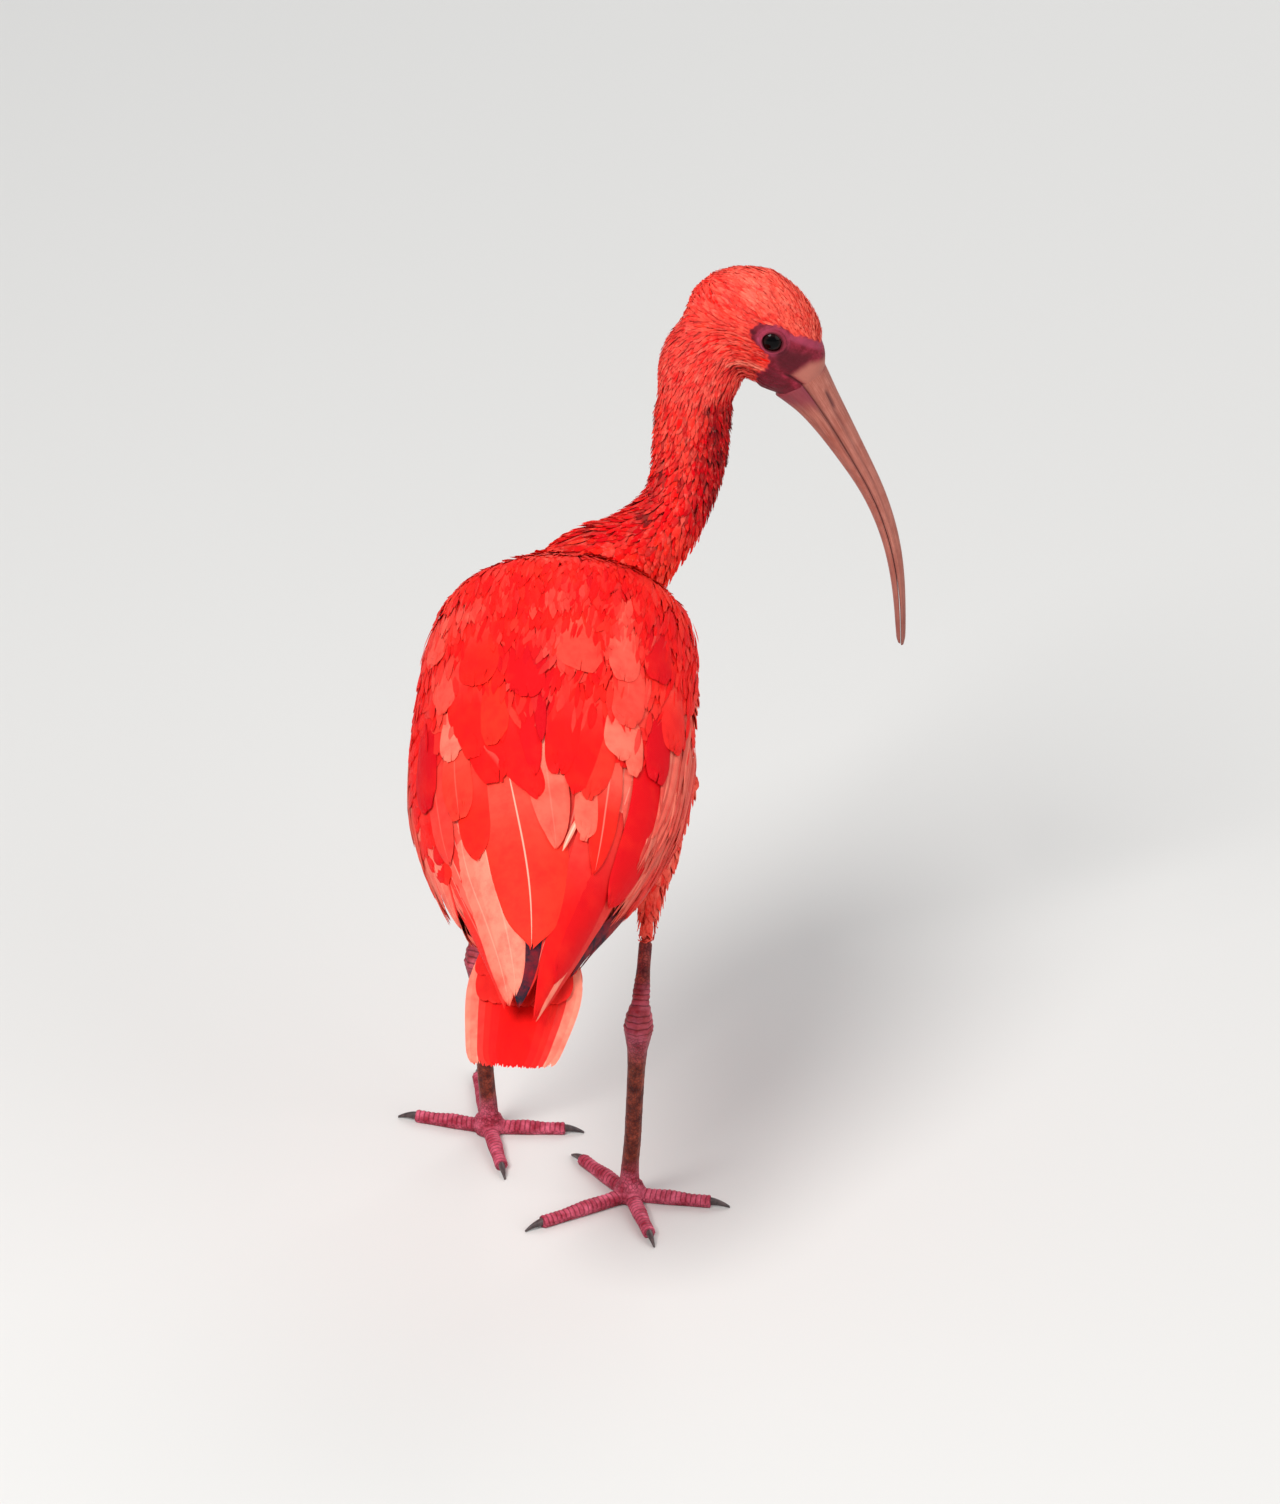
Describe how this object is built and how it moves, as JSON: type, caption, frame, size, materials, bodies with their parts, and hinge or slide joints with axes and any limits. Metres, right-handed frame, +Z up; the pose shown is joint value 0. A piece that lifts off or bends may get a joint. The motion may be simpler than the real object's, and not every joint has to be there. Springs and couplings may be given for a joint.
{
  "type": "scarlet ibis figure",
  "caption": "Life-size wading bird standing on both feet, wings folded, head turned to its right, with a long down-curved bill.",
  "frame": {"origin": "on the floor under the middle of the bird's box", "axes": "+Z up, +Y the way the body faces, +X to the right of the body"},
  "size_m": [0.2196, 0.2864, 0.3927],
  "materials": {
    "eye": "wet, glossy dark brown to black",
    "bill_horn": "dull salmon-brown horn, darker along the mouth and towards the tip",
    "claw_horn": "dark grey horn",
    "leg_skin": "bare skin in fine scales, dark red-brown",
    "toe_skin": "bare ringed skin, dull magenta-red",
    "head_plumage": "short soft feathers, mottled scarlet, with bare mauve skin round the eye",
    "body_plumage": "soft layered feathers, scarlet with salmon bases",
    "wing_plumage": "large smooth feathers, bright scarlet to orange-red",
    "wing_tip_plumage": "smooth flight feathers with blue-black tips",
    "tail_plumage": "smooth flight feathers, scarlet with paler outer edges"
  },
  "bodies": {
    "root": {"bill_lower": "bill_horn", "bill_upper": "bill_horn", "claw_hallux_left": "claw_horn", "claw_hallux_right": "claw_horn", "claw_inner_left": "claw_horn", "claw_inner_right": "claw_horn", "claw_middle_left": "claw_horn", "claw_middle_right": "claw_horn", "claw_outer_left": "claw_horn", "claw_outer_right": "claw_horn", "eye_left": "eye", "eye_right": "eye", "foot_left": "toe_skin", "foot_right": "toe_skin", "head": "head_plumage", "neck_lower": "head_plumage", "neck_upper": "head_plumage", "primaries_left": "wing_tip_plumage", "primaries_right": "wing_tip_plumage", "scapulars_left": "wing_plumage", "scapulars_right": "wing_plumage", "shank_left": "leg_skin", "shank_right": "leg_skin", "tail_coverts_lower": "body_plumage", "tail_coverts_upper": "body_plumage", "tail_feathers": "tail_plumage", "tarsus_left": "leg_skin", "tarsus_right": "leg_skin", "thigh_left": "body_plumage", "thigh_right": "body_plumage", "toe_hallux_left": "toe_skin", "toe_hallux_right": "toe_skin", "toe_inner_left": "toe_skin", "toe_inner_right": "toe_skin", "toe_middle_left": "toe_skin", "toe_middle_right": "toe_skin", "toe_outer_left": "toe_skin", "toe_outer_right": "toe_skin", "torso": "body_plumage", "wing_left": "wing_plumage", "wing_right": "wing_plumage"}
  },
  "joints": []
}
